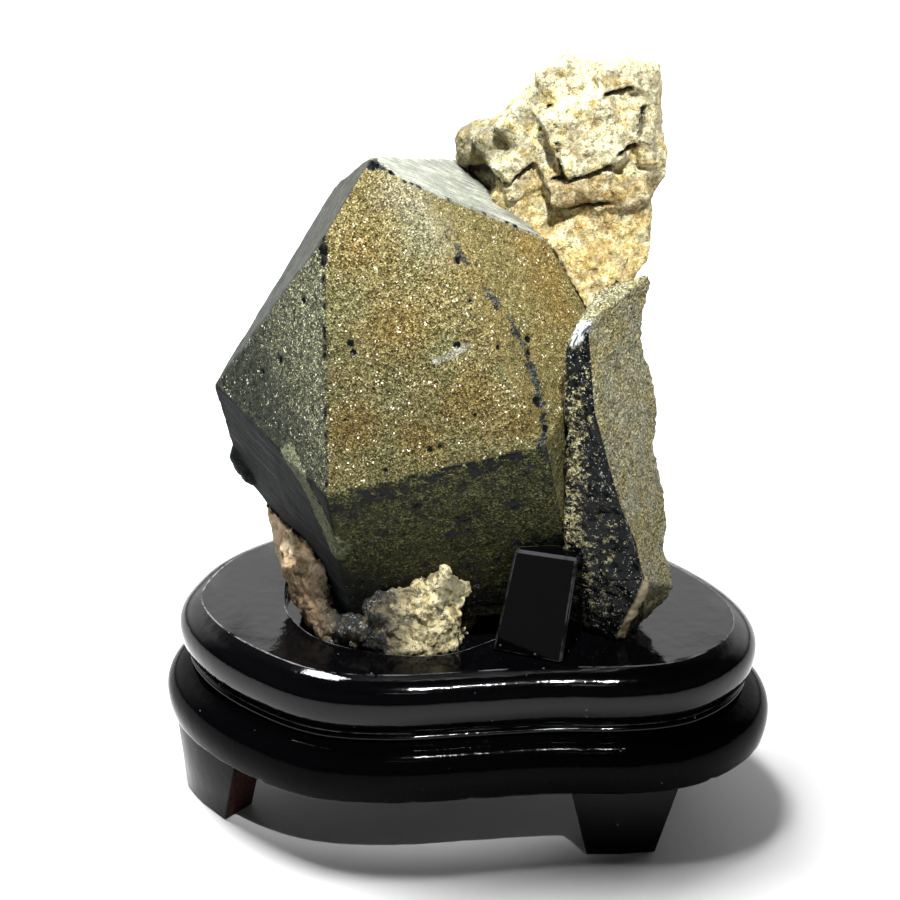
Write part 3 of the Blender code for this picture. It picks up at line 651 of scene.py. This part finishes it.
CRACKS = [          # gaps between the blocks, pushed in and darkened with painted shade: middle and size in millimetres, turn about Y in degrees
    ((41.0, 15.0, 208.2), (9, 16, 1.6), -14), ((47.4, 15.0, 200.0), (1.6, 16, 9), 8),
    ((43.5, 11.4, 193.0), (6, 14, 2.0), -16), ((5.0, 27.0, 180.6), (10, 14, 3.4), -20),
    ((13.4, 15.4, 184.2), (13, 12, 1.5), -33), ((25.4, 12.0, 190.0), (1.3, 12, 13), -14),
    ((31.0, 10.5, 177.0), (19, 12, 1.4), -8), ((31.5, 8.0, 186.2), (19, 12, 1.4), -15),
    ((36.4, 22.0, 205.0), (1.4, 14, 8), -10), ((21.5, 20.0, 200.0), (1.4, 14, 8), 20),
]
KNOB = (4, 26, 186)
SHADED = [(-5.0, -27.0, 76.5, 7)]


def add_block(middle, size, turn_y, turn_z, lean=-16, blunt=0.5):
    deselect()
    bpy.ops.mesh.primitive_cube_add(size=1.0, location=Vector(middle) * MM, scale=Vector(size) * MM,
                                    rotation=[math.radians(turn) for turn in (lean, turn_y, turn_z)])
    bpy.ops.object.transform_apply(location=True, rotation=True, scale=True)
    bpy.ops.object.mode_set(mode="EDIT")
    bpy.ops.mesh.select_all(action="SELECT")
    bpy.ops.mesh.bevel(offset=blunt * MM, segments=1 if blunt < 1 else 3)
    bpy.ops.object.mode_set(mode="OBJECT")
    return bpy.context.object


def in_crack(places):
    """How far into a crack each point lies: 1 in its middle, 0 outside all of them."""
    depth = np.zeros(len(places))
    for middle, size, turn in CRACKS:
        away = places - np.array(middle) * MM
        c, s = math.cos(math.radians(turn)), math.sin(math.radians(turn))
        along = c * away[:, 0] - s * away[:, 2]
        up = s * away[:, 0] + c * away[:, 2]
        inside = 1 - np.abs(np.stack([along, away[:, 1], up], 1)) / (np.array(size) * MM / 2)
        width = 1 - np.abs(up if size[2] < size[0] else along) / (min(size[0], size[2]) * MM / 2)
        depth = np.maximum(depth, smooth(width, 0.0, 0.5) * smooth(inside.min(axis=1), -0.02, 0.25))
    return depth


def tuck_in(rock):
    """Draw the rock in behind the side crystal's edge, and at the foot's right end."""
    places = points(rock)
    x, y, z = places.T
    behind = smooth(-z, -0.166, -0.158) * smooth(x, 0.036, 0.050) * smooth(z, 0.085, 0.100)
    foot = smooth(x, -0.006, 0.0) * smooth(-z, -0.076, -0.070) * smooth(-y, 0.0, 0.006)
    places[:, 0] -= 5.5 * MM * behind + np.clip(x + 4 * MM, 0, 1) * 0.7 * foot
    rock.data.vertices.foreach_set("co", places.ravel())
    rock.data.update()


def drop_crumbs(piece):
    """Delete the tiny loose parts that remeshing leaves, and keep the part with the highest point."""
    pick(piece)
    bpy.ops.object.mode_set(mode="EDIT")
    bpy.ops.mesh.select_mode(type="VERT")
    bpy.ops.mesh.select_all(action="DESELECT")
    bpy.ops.object.mode_set(mode="OBJECT")
    piece.data.vertices[int(points(piece)[:, 2].argmax())].select = True
    bpy.ops.object.mode_set(mode="EDIT")
    bpy.ops.mesh.select_linked()
    bpy.ops.mesh.select_all(action="INVERT")
    bpy.ops.mesh.delete(type="VERT")
    bpy.ops.object.mode_set(mode="OBJECT")


def make_rock():
    rock = shaped_from("matrix_rock", "matrix_rough")
    blocks = [add_block(*given) for given in ROCK_BLOCKS]
    pick(rock)
    for block in blocks:
        block.select_set(True)
    bpy.ops.object.join()
    apply(rock, "REMESH", mode="VOXEL", voxel_size=ROCK_VOXEL)
    drop_crumbs(rock)
    tuck_in(rock)
    upper = group(rock, "upper", smooth(points(rock)[:, 2], 0.160, 0.168))
    apply(rock, "SMOOTH", factor=0.5, iterations=9, vertex_group=upper)
    before = points(rock)
    normals = outwards(rock)
    displace(rock, pattern("CLOUDS", 5 * MM, noise_depth=2), 1.6 * MM)
    fracture(rock, 4.5 * MM, 0.42 * MM, Vector((1.7, 4.2, 8.1)))
    fracture(rock, 2.0 * MM, 0.24 * MM, Vector((5.1, 0.4, 2.3)))
    displace(rock, pattern("CLOUDS", 1.6 * MM, noise_depth=3), 0.45 * MM)
    x, y, z = points(rock).T
    low_front = smooth(-z, -0.100, -0.090) * smooth(-y, 0.0, 0.010)
    fracture(rock, 5.0 * MM, 1.1 * MM, Vector((2.9, 6.1, 3.3)), low_front)
    fracture(rock, 2.4 * MM, 0.55 * MM, Vector((8.3, 1.9, 4.7)), low_front)
    gravelly = group(rock, "gravelly", low_front)
    displace(rock, pattern("CLOUDS", 2.0 * MM, noise_depth=3), 1.6 * MM, where=gravelly)
    places = points(rock)
    relief = np.einsum("ij,ij->i", places - before, normals) / MM
    paint(rock, "relief", 0.5 + relief * 0.6)
    crack = in_crack(places)
    cracked = group(rock, "cracked", crack)
    apply(rock, "DISPLACE", strength=3 * MM, mid_level=0.0, direction="Y", vertex_group=cracked)
    paint(rock, "crack", crack)
    x, y, z = places.T
    paint(rock, "tan", smooth(-x, 0.030, 0.040) * smooth(-z, -0.115, -0.095))
    paint(rock, "lump", smooth(-z, -0.090, -0.084) * smooth(x, -0.036, -0.030) * smooth(-y, 0.0, 0.012))
    # darker, with grey specks, low at the front left of the middle
    paint(rock, "sooty", smooth(-z, -0.090, -0.084) * smooth(-x, 0.012, 0.024) * smooth(x, -0.046, -0.036)
          * smooth(-y, 0.010, 0.020))
    # painted shade: the tan rock darker towards the bottom
    paint(rock, "deep", smooth(-z, -0.086, -0.068) * smooth(-x, 0.030, 0.040))
    paint(rock, "warm", smooth(-z, -0.190, -0.165))
    # painted shade on the ledges' undersides below the big block, also browner
    paint(rock, "ledge", smooth(z, 0.171, 0.177) * smooth(-z, -0.188, -0.183) * smooth(x, 0.016, 0.024))
    paint(rock, "grey", smooth(-x, -0.026, -0.014) * smooth(z, 0.183, 0.192))
    paint(rock, "shaded", nearest_spot(places, SHADED))
    knob = np.linalg.norm(places - np.array(KNOB) * MM, axis=1)
    paint(rock, "knob", smooth(-knob, -14 * MM, -8 * MM))
    bpy.ops.object.shade_smooth()
    return rock


def rock_finish():
    f = Finish("stained matrix rock")
    broad = f.cloud(12 * MM, 4, 0.6)
    blots = f.cloud(5 * MM, 5, 0.65, place=f.vector("ADD", f.place, (0.2, 0.9, 0.4)))
    patches = f.cloud(6 * MM, 4, 0.65, place=f.vector("ADD", f.place, (0.6, 0.3, 0.8)))
    grain = f.part_of(f.cells(ROCK_GRAIN), "Red")
    small = f.part_of(f.cells(ROCK_FINE), "Green")
    sugar = grain * 0.40 + small * 0.35 + f.cloud(1.6 * MM, 4, 0.7) * 1.5 - 0.62
    cream = f.node("ShaderNodeValToRGB", {"stops": [
        (0.0, (0.12, 0.09, 0.04)), (0.25, (0.33, 0.28, 0.14)), (0.55, (0.58, 0.53, 0.33)),
        (1.0, (0.82, 0.80, 0.62))]}, {0: sugar})
    cream = f.mix(broad.step(0.58, 0.72) * 0.7, cream, f.mix(1.0, cream, (0.88, 0.80, 0.74), "MULTIPLY"))
    stain = f.node("ShaderNodeValToRGB", {"stops": [
        (0.0, (0.13, 0.07, 0.02)), (0.3, (0.36, 0.24, 0.062)), (0.6, (0.52, 0.42, 0.165)),
        (1.0, (0.72, 0.67, 0.40))]}, {0: sugar})
    warm = f.painted("warm")
    colour = f.mix((blots + warm * 0.11).step(0.48, 0.62) * 0.9, cream, stain)
    deeper = f.mix(1.0, stain, (0.80, 0.66, 0.42), "MULTIPLY")
    colour = f.mix(warm * patches.step(0.50, 0.62) * 0.6, colour, deeper)
    rust = f.mix(grain, (0.23, 0.14, 0.035), (0.42, 0.29, 0.09))
    colour = f.mix((f.cloud(7 * MM, 5, 0.7) + warm * 0.05).step(0.60, 0.70) * 0.7, colour, rust)
    tan = f.mix(blots.step(0.4, 0.6), (0.66, 0.47, 0.29), (0.85, 0.68, 0.46))
    tan = f.mix(f.cloud(2.2 * MM, 4, 0.7).step(0.54, 0.66) * 0.8, tan, (0.62, 0.48, 0.20))
    tan = f.mix(f.cloud(1.6 * MM, 4, 0.7).step(0.58, 0.68) * 0.7, tan, (0.10, 0.055, 0.03))
    # painted shade: the tan rock darker towards the bottom
    tan = f.mix(f.painted("deep") * 0.9, tan, f.mix(1.0, tan, (0.22, 0.18, 0.13), "MULTIPLY"))
    colour = f.mix(f.painted("tan"), colour, tan)
    lump = f.mix(blots.step(0.38, 0.62), (0.46, 0.39, 0.18), (0.66, 0.58, 0.33))
    lump = f.mix(small.step(0.72, 0.85) * 0.55, lump, (0.86, 0.82, 0.62))
    lump = f.mix(patches.step(0.50, 0.62) * 0.7, lump, (0.10, 0.10, 0.06))
    lump = f.mix(f.cloud(1.5 * MM, 4, 0.7).step(0.53, 0.61) * 0.85, lump, (0.09, 0.075, 0.035))
    lump = f.mix(f.cloud(4 * MM, 4, 0.7).step(0.55, 0.66) * 0.7, lump, (0.50, 0.34, 0.12))
    lump = f.mix((f.painted("shaded") + (patches - 0.5)).step(0.15, 0.5) * 0.8, lump, (0.08, 0.08, 0.045))
    colour = f.mix(f.painted("lump"), colour, lump)
    glitter = f.part_of(f.cells(0.45 * MM), "Red").step(0.80, 0.95) * f.cloud(3 * MM, 3, 0.6).step(0.42, 0.60)
    # darker, with grey specks, low at the front left of the middle
    dark_specked = f.mix(glitter, (0.012, 0.013, 0.012), (0.26, 0.27, 0.25))
    colour = f.mix(f.painted("sooty") * (blots + 0.18).step(0.45, 0.6), colour, dark_specked)
    # painted shade: the rock darker in its hollows, where the displacement sank the surface
    hollow_shade = (0.5 - f.painted("relief") + (broad - 0.5) * 0.15).step(0.03, 0.20)
    colour = f.mix(hollow_shade * 0.5, colour, (0.16, 0.125, 0.065))
    colour = f.mix(f.painted("grey") * 0.9, colour, f.mix(1.0, colour, (0.72, 0.75, 0.77), "MULTIPLY"))
    # painted shade on the ledges' undersides, also browner
    ledge = f.painted("ledge") * (0.45 + patches).step(0.75, 1.0)
    colour = f.mix(ledge * 0.8, colour, f.mix(1.0, colour, (0.50, 0.42, 0.28), "MULTIPLY"))
    specks = f.cloud(1.1 * MM, 4, 0.7, place=f.vector("ADD", f.place, (0.4, 0.1, 0.6))).step(0.66, 0.72)
    colour = f.mix(specks * 0.75, colour, (0.07, 0.055, 0.035))
    veins = f.cells(4.2 * MM, 0, place=f.wavering(3 * MM, 2.2 * MM), feature="DISTANCE_TO_EDGE")
    veins = (1 - veins.step(0.01, 0.06)) * f.cloud(6 * MM, 3, 0.6).step(0.54, 0.62)
    colour = f.mix(veins * 0.5, colour, (0.16, 0.12, 0.06))
    colour = f.mix(f.painted("knob") * 0.85, colour, f.mix(1.0, colour, (0.44, 0.44, 0.42), "MULTIPLY"))
    # painted shade: the cracks' insides drawn near black
    colour = f.mix(f.painted("crack").step(0.2, 0.8) * 0.8, colour, (0.05, 0.042, 0.03))
    normal = f.facets(1.2 * MM, 0.8)
    height = f.cloud(0.9 * MM, 4, 0.7) + f.cells(2.2 * MM, "Distance") * 0.5 - veins * 0.8
    return f.set(Base_Color=colour, Roughness=0.72 + 0.2 * grain, Normal=f.bump(height, 0.5 * MM, normal))


# The stand

BOARD_ARRIS = math.radians(55)
FLAT_ARRIS = math.radians(19)       # round the upper board's flat top
BOARD_LEVELS = 2
FOOT_ARRIS = math.radians(30)       # of the feet and the wedge
FLAT_AREA = 20 * MM * MM            # a foot's flat faces are larger, its rounded arrises' smaller
FEET_TOP = 22 * MM
ARRIS_STEP = 0.4 * MM
ARRIS_INNER = 0.15 * MM      # the painted edge highlight and rubbing are full this near an arris, and none beyond the outer reach
ARRIS_OUTER = 1.0 * MM


def lacquer_finish(name, gloss, edge_highlight=0.75):
    f = Finish(name)
    brush = f.cloud(14 * MM, 2, 0.4)
    orange_peel = f.cloud(3 * MM, 2, 0.5)
    dust = f.cloud(0.35 * MM, 3, 0.7)
    chosen = f.part_of(f.cells(DUST_SPECKS), "Red").step(0.955, 0.975)
    speck = chosen * (1 - f.cells(DUST_SPECKS, "Distance").step(0.10, 0.16))
    black = f.mix(dust.step(0.5, 0.8) * 0.5, (0.0012, 0.0012, 0.0016), (0.006, 0.006, 0.0065))
    colour = f.mix(speck * 0.3, black, (0.35, 0.35, 0.34))
    rubbed_and_highlit = f.painted("arris").step(0.78, 0.98) * f.cloud(9 * MM, 4, 0.7).step(0.40, 0.58)
    # painted highlight: the arrises drawn lighter grey in broken lines; the same mask makes them rougher, as
    # rubbed edges are
    colour = f.mix(rubbed_and_highlit * edge_highlight, colour, (0.20, 0.205, 0.21))
    bare = f.painted("bare").step(0.4, 0.6)
    wood = f.mix(f.cloud(1.2 * MM, 4, 0.6).step(0.35, 0.65), (0.010, 0.004, 0.003), (0.040, 0.013, 0.009))
    colour = f.mix(bare, colour, wood)
    height = brush * 0.3 + orange_peel * 0.22 + dust * 0.02
    return f.set(Base_Color=colour, Specular_IOR_Level=gloss,
                 Roughness=0.05 + dust.step(0.4, 0.9) * 0.07 + speck * 0.3 + bare * 0.6 + rubbed_and_highlit * 0.2,
                 Normal=f.bump(height, 0.30 * MM))


def select_sharp(piece, angle):
    pick(piece)
    bpy.ops.object.mode_set(mode="EDIT")
    bpy.ops.mesh.select_all(action="DESELECT")
    bpy.ops.mesh.select_mode(type="EDGE")
    bpy.ops.mesh.edges_select_sharp(sharpness=angle)
    bpy.ops.object.mode_set(mode="OBJECT")


def sharp_edges(piece, angle, top_angle=None):
    """Select the piece's arrises, and give points along them, to find how near a place lies to one."""
    gentle = []
    if top_angle:
        top = points(piece)[:, 2].max() - 0.1 * MM
        select_sharp(piece, top_angle)
        gentle = [edge.index for edge in piece.data.edges
                  if edge.select and min(piece.data.vertices[i].co.z for i in edge.vertices) > top]
    select_sharp(piece, angle)
    for index in gentle:
        piece.data.edges[index].select = True
    along = []
    for edge in piece.data.edges:
        if edge.select:
            start, end = (piece.data.vertices[i].co.copy() for i in edge.vertices)
            steps = max(2, int((end - start).length / ARRIS_STEP))
            along += [start.lerp(end, step / steps) for step in range(steps + 1)]
    tree = kdtree.KDTree(len(along))
    for i, place in enumerate(along):
        tree.insert(place, i)
    tree.balance()
    return tree


def mark_arris_nearness(piece, tree):
    away = np.array([tree.find(vertex.co)[2] for vertex in piece.data.vertices])
    paint(piece, "arris", smooth(-away, -ARRIS_OUTER, -ARRIS_INNER))


def broken_arrises(node, name, inset=False, width=0.5 * MM):
    """A piece with flat faces, its arrises rounded over by sanding, and its inward face left bare."""
    piece = shaped_from(node, name)
    bpy.ops.object.mode_set(mode="EDIT")
    bpy.ops.mesh.select_all(action="SELECT")
    bpy.ops.mesh.dissolve_limited(angle_limit=math.radians(6))
    bpy.ops.object.mode_set(mode="OBJECT")
    tree = sharp_edges(piece, FOOT_ARRIS)
    apply(piece, "BEVEL", width=width, segments=3, limit_method="ANGLE", angle_limit=FOOT_ARRIS)
    if inset:
        bpy.ops.object.mode_set(mode="EDIT")
        bpy.ops.mesh.select_mode(type="FACE")
        bpy.ops.mesh.select_all(action="DESELECT")
        bpy.ops.object.mode_set(mode="OBJECT")
        for face in piece.data.polygons:
            face.select = face.area > FLAT_AREA
        bpy.ops.object.mode_set(mode="EDIT")
        bpy.ops.mesh.inset(thickness=0.6 * MM, use_individual=True)
        bpy.ops.object.mode_set(mode="OBJECT")
        mark_arris_nearness(piece, tree)
    bare = np.zeros(len(piece.data.vertices))
    for face in piece.data.polygons:
        inwards = -math.copysign(1.0, face.center.x) * face.normal.x
        if face.area > FLAT_AREA and inwards > 0.7 and face.center.z < FEET_TOP:
            bare[list(face.vertices)] = 1.0
    paint(piece, "bare", bare)
    bpy.ops.object.shade_smooth_by_angle(angle=FOOT_ARRIS)
    return piece


def softened(node, name, top_angle=None):
    """A finer piece from a solid: its facets made round and its arrises slightly broken."""
    piece = shaped_from(node, name)
    bpy.ops.object.mode_set(mode="EDIT")
    bpy.ops.mesh.select_all(action="SELECT")
    bpy.ops.mesh.tris_convert_to_quads(face_threshold=math.radians(25), shape_threshold=math.radians(60))
    bpy.ops.object.mode_set(mode="OBJECT")
    tree = sharp_edges(piece, BOARD_ARRIS, top_angle)
    bpy.ops.object.mode_set(mode="EDIT")
    bpy.ops.transform.edge_crease(value=0.92)
    bpy.ops.object.mode_set(mode="OBJECT")
    apply(piece, "SUBSURF", levels=BOARD_LEVELS, render_levels=BOARD_LEVELS)
    mark_arris_nearness(piece, tree)
    bpy.ops.object.shade_smooth_by_angle(angle=math.radians(40) if top_angle is None else 0.8 * top_angle)
    return piece


# Assembly

def finish_piece(piece, material, node):
    piece.data.materials.clear()
    piece.data.materials.append(material)
    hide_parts(node)
    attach(piece, "root")


deselect()
finish_piece(make_main_crystal(), crystal_finish(), "main_crystal")
finish_piece(make_side_crystal(), side_finish(), "side_crystal")
finish_piece(make_rock(), rock_finish(), "matrix_rock")
lacquer = lacquer_finish("black lacquer", 0.27)
dull_lacquer = lacquer_finish("duller black lacquer", 0.10)
dullest_lacquer = lacquer_finish("dullest black lacquer", 0.035, 0.22)
for node, name, finish, top_angle in (("stand_top", "upper_board", lacquer, FLAT_ARRIS),
                                      ("stand_base", "lower_board", dullest_lacquer, None)):
    finish_piece(softened(node, name, top_angle), finish, node)
for node, name in (("foot_front_left", "foot_a"), ("foot_front_right", "foot_b"),
                   ("foot_back_left", "foot_c"), ("foot_back_right", "foot_d")):
    finish_piece(broken_arrises(node, name), dull_lacquer, node)
wedge = broken_arrises("support_post", "wedge", inset=True, width=0.25 * MM)
finish_piece(wedge, dullest_lacquer, "support_post")


# Floor, light and camera

def make_floor():
    deselect()
    bpy.ops.mesh.primitive_plane_add(size=8.0)
    floor = bpy.context.object
    floor.name = "floor"
    f = Finish("pale floor")
    floor.data.materials.append(f.set(Base_Color=(0.86, 0.86, 0.86), Roughness=0.7))


def stand_lamp(name, data, place, aim):
    thing = bpy.data.objects.new(name, data)
    thing.location = place
    thing.rotation_euler = (Vector(place) - Vector(aim)).to_track_quat("Z", "Y").to_euler()
    bpy.context.collection.objects.link(thing)


def lamp(name, place, aim, size, power):
    data = bpy.data.lights.new(name, "AREA")
    data.shape = "RECTANGLE"
    data.size, data.size_y = size
    data.energy = power
    stand_lamp(name, data, place, aim)


def spot(name, place, aim, spread, power):
    """A lamp in a soft-edged tube, which lights the specimen and not the floor in front of it."""
    data = bpy.data.lights.new(name, "SPOT")
    data.spot_size = math.radians(spread)
    data.spot_blend = 0.35
    data.shadow_soft_size = 0.035
    data.energy = power
    stand_lamp(name, data, place, aim)


make_floor()
lamp("overhead", (-0.30, 0.30, 1.3), (0, 0.1, 0), (0.50, 0.32), 34)
lamp("front strip", (0.05, -0.80, 0.95), (0, 0, 0.05), (0.20, 0.006), 0.10)
spot("snoot", (0.12, -0.55, 1.15), (-0.005, 0, 0.150), 9.4, 132)
world = bpy.data.worlds.new("studio")
scene.world = world
world.use_nodes = True
nodes = world.node_tree.nodes
links = world.node_tree.links
direction = nodes.new("ShaderNodeTexCoord")
split = nodes.new("ShaderNodeSeparateXYZ")
links.new(direction.outputs["Generated"], split.inputs[0])


def rise(axis, low, high, start, end):
    """The sky's glow along one axis of the direction: start up to low, end from high on."""
    made = nodes.new("ShaderNodeMapRange")
    made.interpolation_type = "SMOOTHSTEP"
    for key, value in (("From Min", low), ("From Max", high), ("To Min", start), ("To Max", end)):
        made.inputs[key].default_value = value
    links.new(split.outputs[axis], made.inputs[0])
    return made.outputs[0]


def both(first, second):
    made = nodes.new("ShaderNodeMath")
    made.operation = "MULTIPLY"
    links.new(first, made.inputs[0])
    links.new(second, made.inputs[1])
    return made.outputs[0]


behind = rise("Y", 0.10, 0.65, 0.035, 2.1)
above_floor = rise("Z", -0.05, 0.25, 0.12, 1.0)
below_zenith = rise("Z", 0.52, 0.74, 1.0, 0.06)
glow = both(behind, both(above_floor, below_zenith))
links.new(glow, nodes["Background"].inputs[1])
nodes["Background"].inputs[0].default_value = (1, 1, 1, 1)

ELEVATION = math.radians(28)
DISTANCE = 0.75
AIM = Vector((-0.0046, -0.0026, 0.107))
LENS = 106.0                # millimetres, as is the sensor
SENSOR = 36.0
camera = bpy.data.cameras.new("camera")
camera.lens = LENS
camera.sensor_width = SENSOR
camera_object = bpy.data.objects.new("camera", camera)
camera_object.location = AIM + DISTANCE * Vector((0, -math.cos(ELEVATION), math.sin(ELEVATION)))
camera_object.rotation_euler = (math.pi / 2 - ELEVATION, 0, 0)
bpy.context.collection.objects.link(camera_object)
scene.camera = camera_object
